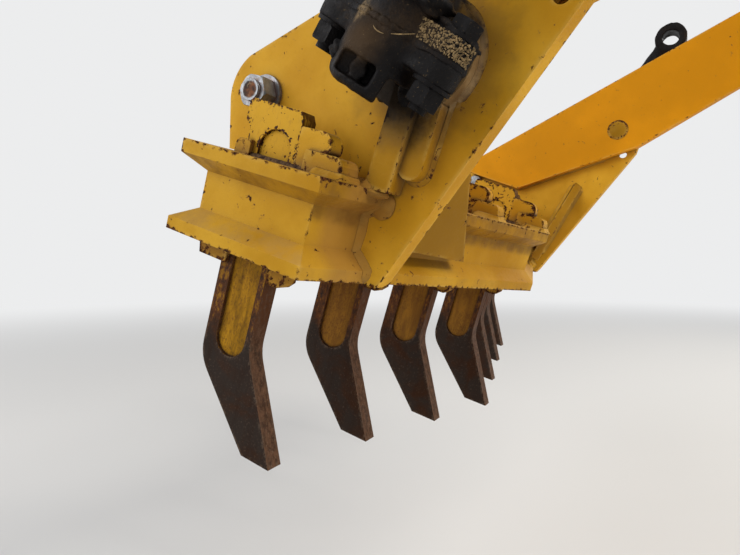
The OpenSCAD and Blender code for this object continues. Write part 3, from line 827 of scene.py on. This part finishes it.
class SCARIFIER_OT_plates(bpy.types.Operator):
    """Rounds and finishes the plates, arms, saddle, brackets and bolts"""

    bl_idname = "scarifier.plates"
    bl_label = "Plates, arms and bolts"

    def execute(self, context):
        size = context.scene.scarifier_sizes
        dress("hinge_saddle", "arm", size.edge_round)
        for side in SIDES:
            dress(f"side_plate_{side}", "plate", size.edge_round)
            dress(f"front_gusset_{side}", "gusset", size.edge_round)
            dress(f"draft_arm_{side}", "arm", size.edge_round)
            dress(f"ball_bracket_{side}", "bracket", size.edge_round)
            dress(f"arm_bolt_{side}", "worn", BOLT_ROUND)
            dress(f"rear_bolt_{side}", "zinc", BOLT_ROUND)
            dress(f"pivot_pin_{side}", "zinc", PIN_ROUND)
            cake(f"lift_link_{side}", size)
            cake(f"socket_cap_{side}", size)
            dress(f"socket_bolts_{side}", "grease", CAKED_ROUND)
        return {"FINISHED"}


def weld_routes():
    """Weld fillets on the right side, as name: (points, way along one face, way along the other,
    share of the leg)."""
    out, inn, top = -PLATE_OUT, -PLATE_IN, BAR_HIGH
    left, up, away = (0, 1, 0), (0, 0, 1), (0, -1, 0)
    outward, inward = (-BAR_SWEEP, -1, 0), (BAR_SWEEP, 1, 0)
    post, post_ways = -PLATE_OUT - POST_OUT, [(-1, 0, 0), (-1, -1, 0), (0, -1, 0)]
    pad = circle_xz(BALL_LINE, out, PAD_R, -38, 236, 120)
    spur = np.concatenate([circle_xz(SPUR_BEND, out, SPUR_BEND_R, 185, 352, 40), [(72.5, out, 238)]])
    spur_ways = round_ways(SPUR_BEND, spur)
    spur_ways[-1] = (1, 0, 0)
    arm_ways = [(0, 0, -1), (0.25, 0, -1), (0.545, 0, -0.839)]
    return {
        "plate_top_out": ([(-188, out, top), (bar_face(out) - 2, out, top)], up, away, 1),
        "plate_top_in": ([(-182, inn, top), (bar_face(inn) - 2, inn, top)], up, left, 1),
        "plate_front_out": (*profile_seam(out, 1), outward, 0.8),
        "plate_front_in": (*profile_seam(inn, 1), inward, 1.2),
        "plate_back_out": (*profile_seam(out, -1), outward, 1),
        "plate_back_in": (*profile_seam(inn, -1), inward, 1),
        "pad": (pad, round_ways(BALL_LINE, pad), away, 0.7),
        "spur": (spur, spur_ways, away, 0.5),
        "post_rear": ([(8, out, 117), (13, out, 208)], (-1, 0, 0), away, 0.9),
        "post_foot": ([(8, out - 3, top), (8, post, top), (19, post, top)], up, post_ways, 1.1),
        "gusset_front": ([(42, inn, 54), (86, inn, 246)], (0.976, 0, -0.216), (0.17, 1, 0), 0.8),
        "gusset_back": ([(34, inn, 116), (64, inn, 250)], (-0.976, 0, 0.216), (0.17, 1, 0), 0.8),
        "gusset_lip": ([(29, inn + 4, top), (bar_face(334) - 1, -334, top)], up, (-1, 0, 0), 0.9),
        "arm_low": ([(-206, inn, 216), (-71, inn, 205), (120, inn, 329)], arm_ways, left, 0.5),
        "arm_top": ([(-164, inn, 292), (80, inn, 452)], (-0.547, 0, 0.837), away, 0.7),
    }


# weld fillets with the greased brackets' finish
BRACKET_WELDS = ("pad", "spur", "post_rear")

# weld metal heaped where the bar's lip, the plate and the post meet: place and radii
WELD_HEAPS = {
    "tongue": ((23, -475, 98), (15, 4.5, 17)),
    "lip": ((15, -493, 111), (19, 17, 7)),
}


def lug_weld(i):
    """Route round the foot of the lug ahead of a wedge, and the ways outward at its corners."""
    x, y = shank_place(i)
    corners = ((LUG_BACK, -1), (LUG_FRONT, -1), (LUG_FRONT, 1), (LUG_BACK, 1))
    points = [(x + ahead, y + LUG_HALF * way, BAR_HIGH) for ahead, way in corners]
    return points, [(0, -1, 0), (1, -1, 0), (1, 1, 0), (0, 1, 0)]


class SCARIFIER_OT_welds(bpy.types.Operator):
    """Lays the weld fillets between plates, bar, lugs, posts, pads, gussets and ears"""

    bl_idname = "scarifier.welds"
    bl_label = "Weld beads"

    def execute(self, context):
        size = context.scene.scarifier_sizes
        leg, pitch = size.weld_leg, size.weld_pitch
        for side in SIDES:
            for number, (name, (points, a, b, share)) in enumerate(weld_routes().items()):
                grid = fillet(points, a, b, leg * share, pitch, 1.7 * number)
                finish = "bracket" if name in BRACKET_WELDS else "weld"
                side_piece(f"weld_{name}", side, grid, finish, "bar_paint")
            for number, (name, (centre, radii)) in enumerate(WELD_HEAPS.items()):
                shell = lump(centre, radii, 0.7 + 1.9 * number, 0.03)
                side_piece(f"weld_{name}", side, shell, "weld", "bar_paint")
            for number, face in enumerate(EAR_FACES):
                line = [(-EAR_HALF, -face, -SADDLE_THICK), (EAR_HALF, -face, -SADDLE_THICK)]
                way = (0, -1 if number % 2 else 1, 0)
                grid = on_side(fillet(line, (0, 0, -1), way, 0.8 * leg, pitch, number), side) / 1000
                piece_from_grid(f"weld_ear_{number}_{side}", grid, "arm", "frame_paint", "hitch")
        for i in range(1, SHANK_COUNT + 1):
            points, ways = lug_weld(i)
            grid = fillet(points, (0, 0, 1), ways, 0.85 * leg, pitch, 0.9 * i)
            piece_from_grid(f"weld_lug_{i}", hang(grid), "weld", "bar_paint")
        return {"FINISHED"}


def thread(centre, start, end, pitch):
    """Bolt end with ring grooves: a turned profile whose radius swings as a triangle wave along the
    bolt, with the far end chamfered and closed."""
    y = np.linspace(start, end, int(abs(end - start) / pitch * 8))
    wave = np.abs((np.abs(y - start) / pitch) % 1 - 0.5) * 2
    r = THREAD_R + 0.3 - 0.9 * wave
    r[0], r[-2], r[-1] = THREAD_R - 1, THREAD_R - 2, 0
    y[-1] = y[-2]
    r, turn = r[:, None], full_turn(40)
    return np.stack([centre[0] + r * np.cos(turn), y[:, None] + 0 * turn, centre[1] + r * np.sin(turn)], -1)


class SCARIFIER_OT_threads(bpy.types.Operator):
    """Cuts the threads on the rear bolts' and arm bolts' ends"""

    bl_idname = "scarifier.threads"
    bl_label = "Bolt threads"

    def execute(self, context):
        pitch = context.scene.scarifier_sizes.thread_pitch
        for side in SIDES:
            rear, arm = thread(REAR_BOLT, *REAR_THREAD, pitch), thread(ARM_BOLT, *ARM_THREAD, pitch)
            side_piece("rear_thread", side, rear, "zinc", "zinc")
            side_piece("arm_thread", side, arm, "worn", "worn_paint")
        return {"FINISHED"}


# grease lumps on the socket: place and radii in the link's frame, in millimetres
GREASE = {
    "shoulder": ((6, -8, 36), (40, 36, 16)),
    "front_flange": ((60, 2, 24), (27, 19, 9)),
    "rear_flange": ((-54, 0, 24), (25, 18, 9)),
    "pocket": ((-30, -26, -44), (9, 8, 9)),
}
# grease that has run down over the post under the ball, in the bar's frame
POST_GREASE = ((33, -505, 226), (15, 6, 17))
# straws stuck in the grease of the socket, as bends of their middle lines in the bar's frame
STRAWS = (
    ((27, -597.2, 262.5), (32, -597.4, 258.4), (38.5, -594.6, 257)),
    ((44.5, -591.4, 258.6), (53.5, -587, 260.6), (63, -579.6, 264.6)),
)


def at_ball(points):
    """Places points of the link's own frame, its length up from the ball, in the bar's frame."""
    return nose_down(points, LINK_LEAN) + BALL


def flange_edge(angle):
    """Distance from the link's line to the edge of the round body or, where it reaches further, of
    the long flange, whose straight side gives way to a round end."""
    c, s = np.abs(np.cos(angle)), np.abs(np.sin(angle))
    straight = FLANGE_R / np.maximum(s, 1e-6)
    end = FLANGE_REACH * c + np.sqrt(np.maximum(FLANGE_R**2 - (FLANGE_REACH * s) ** 2, 0))
    return np.maximum(SOCKET_R, np.where(straight * c <= FLANGE_REACH, straight, end))


def seam_grease(seed):
    """Band of grease pressed out of the socket's split: a ring that follows the flanges' edge, with
    an elliptical section that swells by three sines of the angle."""
    turn, t = full_turn(360), full_turn(12)
    reach = smoothed(flange_edge(turn), 2, "wrap")
    swell = 1 + 0.25 * np.sin(9 * turn + seed) + 0.18 * np.sin(23 * turn)
    swell = (swell + 0.1 * np.sin(41 * turn + seed))[:, None]
    r = reach[:, None] - 0.6 + 1.7 * swell * np.cos(t)
    z = 3.2 * swell * np.sin(t)
    ring = np.stack([r * np.cos(turn)[:, None], r * np.sin(turn)[:, None], z], -1)
    return np.concatenate([ring, ring[:1]], 0)


def grit_grains(seed, count=620):
    """Sand grains stuck to the front end of the upper flange: ellipsoids at random places along its
    straight edge and round its end, over its height, with random radii and turns."""
    straight, start = 38, 30
    rng = np.random.default_rng(seed)
    s = rng.uniform(0, 72, count)
    bend = np.clip((s - straight) / FLANGE_R, 0, 1.6)
    x = start + np.minimum(s, straight) + FLANGE_R * np.sin(bend)
    centre = np.stack([x, -FLANGE_R * np.cos(bend), rng.uniform(3.5, 22, count)], -1)
    size = rng.uniform(0.5, 1.25, count)
    shape = ball_grid(5, 6) * rng.uniform(0.6, 1.25, (count, 1, 1, 3))
    spin = rng.uniform(0, 2 * math.pi, count)
    turned = nose_down(shape, -spin[:, None, None])
    return centre[:, None, None, :] + turned * size[:, None, None, None]


def straw(bends, radius=0.55, steps=24):
    """Tube along the parabola that meets its ends and, halfway, a middle place. It thins towards
    both ends."""
    a, b, c = (np.asarray(p, float) for p in bends)
    t = np.linspace(0, 1, steps)[:, None]
    line = a * (1 - t) * (1 - 2 * t) + b * 4 * t * (1 - t) + c * t * (2 * t - 1)
    way = unit(np.gradient(line, axis=0))
    side = unit(np.cross(way, (0, 1, 0)))
    other = np.cross(way, side)
    turn = full_turn(8)[:, None]
    thick = radius * (0.45 + 0.55 * np.sin(math.pi * t))[:, None]
    return line[:, None] + thick * (np.cos(turn) * side[:, None] + np.sin(turn) * other[:, None])


class SCARIFIER_OT_grease(bpy.types.Operator):
    """Cakes the ball sockets and the posts under them with grease and grit"""

    bl_idname = "scarifier.grease"
    bl_label = "Grease"

    def execute(self, context):
        for side in SIDES:
            body = f"link_{side}"
            shells = {name: lump(*place, 0.9 + 1.7 * k) for k, (name, place) in enumerate(GREASE.items())}
            shells["seam"] = seam_grease(0.6)
            for name, shell in shells.items():
                side_piece(f"grease_{name}", side, at_ball(shell), "grease", "greased_iron", body)
            run = lump(*POST_GREASE, 2.3, 0.1)
            side_piece("grease_post_top", side, run, "grease", "greased_iron")
            for number, bends in enumerate(STRAWS, 1):
                side_piece(f"straw_{number}", side, straw(bends), "straw", "greased_iron", body)
            side_piece("grit", side, at_ball(grit_grains(7)), "grit", "greased_iron", body, smooth=False)
        return {"FINISHED"}


class SCARIFIER_OT_soil(bpy.types.Operator):
    """Packs soil into the seams round the shanks, above and below the bar"""

    bl_idname = "scarifier.soil"
    bl_label = "Packed soil"

    def execute(self, context):
        for i in range(1, SHANK_COUNT + 1):
            x, y = shank_place(i)
            for level, z, out in (("top", BAR_HIGH + 0.5, 1), ("low", -0.5, -1)):
                for side, edge in (("right", -1), ("left", 1)):
                    line = [(x + ahead, y + edge * SLOT_HALF, z) for ahead in (SLOT_BACK, SLOT_FRONT)]
                    grid = ripple_tube(line, (0, edge, out), 4.2, 2.6, 9, i + edge)
                    piece_from_grid(f"soil_{level}_{i}_{side}", hang(grid), "soil", "worn_paint")
        return {"FINISHED"}


# the photograph's camera in the model's frame: place in metres, heading, tilt and roll in degrees
CAMERA_AT = (-0.6641, -1.0376, -0.8385)
CAMERA_HEADING = 29.03
CAMERA_TILT = -2.14
CAMERA_ROLL = 0.28
FOCAL_PIXELS = 527.1
PICTURE_WIDTH = 740
SENSOR = 36

# soft square lamps that face one place: place and width in metres, power in watts, and tint
LAMPS_FACE = Vector((-0.9, 0, -0.8))
LAMPS = {
    "key": ((3, -0.1, 2.2), 1.8, 170, (1, 0.95, 0.87)),
    "fill": ((-3.4, -3.2, 1.3), 3.2, 112, (0.98, 0.98, 1)),
    "rim": ((0.6, 3.6, 2), 2.6, 64, (1, 0.97, 0.92)),
}
# strength of the surroundings where they light the object, and where they are seen
SKY_LIGHT, SKY_SEEN = 0.48, 1
# the forward place of the floor's middle and its half width, in metres
FLOOR_MIDDLE, FLOOR_HALF = -0.6, 30


def lay_floor(drop):
    """A square floor under the object."""
    ways = ((-1, -1), (1, -1), (1, 1), (-1, 1))
    corners = [(FLOOR_MIDDLE + a * FLOOR_HALF, b * FLOOR_HALF, -drop) for a, b in ways]
    mesh = bpy.data.meshes.new("floor")
    mesh.from_pydata(corners, [], [(0, 1, 2, 3)])
    mesh.materials.append(MATERIALS["floor"])
    new_object("floor", mesh)


def hang_lamp(name, at, width, power, tint):
    """One soft square lamp."""
    data = bpy.data.lights.new(name, "AREA")
    given(data, shape="SQUARE", size=width, energy=power, color=tint)
    turn = (LAMPS_FACE - Vector(at)).to_track_quat("-Z", "Y")
    given(new_object(name, data), location=at, rotation_mode="QUATERNION", rotation_quaternion=turn)


def pale_world(backdrop):
    """Surroundings that light the object less than they show."""
    world = bpy.data.worlds.new("pale")
    g = Nodes(world)
    sky = g.tree.nodes["Background"].inputs
    g.put(sky["Color"], backdrop)
    g.put(sky["Strength"], g.seen() * (SKY_SEEN - SKY_LIGHT) + SKY_LIGHT)
    return world


def photo_camera():
    """The photograph's camera."""
    data = bpy.data.cameras.new("camera")
    given(data, sensor_width=SENSOR, lens=FOCAL_PIXELS * SENSOR / PICTURE_WIDTH)
    place = Matrix.Translation(CAMERA_AT)
    for angle, axis in ((CAMERA_HEADING, "Z"), (90 + CAMERA_TILT, "X"), (CAMERA_ROLL, "Z")):
        place = place @ Matrix.Rotation(math.radians(angle), 4, axis)
    return given(new_object("camera", data), matrix_world=place)


class SCARIFIER_OT_stage(bpy.types.Operator):
    """Sets the floor, the lamps, the pale surroundings and the photograph's camera"""

    bl_idname = "scarifier.stage"
    bl_label = "Stage"

    def execute(self, context):
        scene = context.scene
        lay_floor(scene.scarifier_sizes.floor_drop)
        for name, lamp in LAMPS.items():
            hang_lamp(name, *lamp)
        scene.world = pale_world(scene.scarifier_colours.backdrop)
        scene.view_settings.view_transform = "Standard"
        scene.camera = photo_camera()
        return {"FINISHED"}


class SCARIFIER_PT_panel(bpy.types.Panel):
    """Lists the pieces that can be made, and their sizes and colours"""

    bl_idname = "SCARIFIER_PT_panel"
    bl_label = "Scarifier"
    bl_space_type = "VIEW_3D"
    bl_region_type = "UI"
    bl_category = "Scarifier"

    def draw(self, context):
        for operator in OPERATORS:
            self.layout.operator(operator.bl_idname)
        for group in (context.scene.scarifier_sizes, context.scene.scarifier_colours):
            for name in group.__annotations__:
                self.layout.prop(group, name)


OPERATORS = (
    SCARIFIER_OT_bar,
    SCARIFIER_OT_shanks,
    SCARIFIER_OT_plates,
    SCARIFIER_OT_welds,
    SCARIFIER_OT_threads,
    SCARIFIER_OT_grease,
    SCARIFIER_OT_soil,
    SCARIFIER_OT_stage,
)
CLASSES = (ScarifierColours, ScarifierSizes, *OPERATORS, SCARIFIER_PT_panel)


def register():
    for cls in CLASSES:
        bpy.utils.register_class(cls)
    bpy.types.Scene.scarifier_colours = PointerProperty(type=ScarifierColours)
    bpy.types.Scene.scarifier_sizes = PointerProperty(type=ScarifierSizes)


def unregister():
    del bpy.types.Scene.scarifier_sizes
    del bpy.types.Scene.scarifier_colours
    for cls in reversed(CLASSES):
        bpy.utils.unregister_class(cls)


def main():
    register()
    make_materials(bpy.context.scene.scarifier_colours)
    bpy.ops.scarifier.bar()
    bpy.ops.scarifier.shanks()
    bpy.ops.scarifier.plates()
    bpy.ops.scarifier.welds()
    bpy.ops.scarifier.threads()
    bpy.ops.scarifier.grease()
    bpy.ops.scarifier.soil()
    bpy.ops.scarifier.stage()


if __name__ == "__main__":
    main()
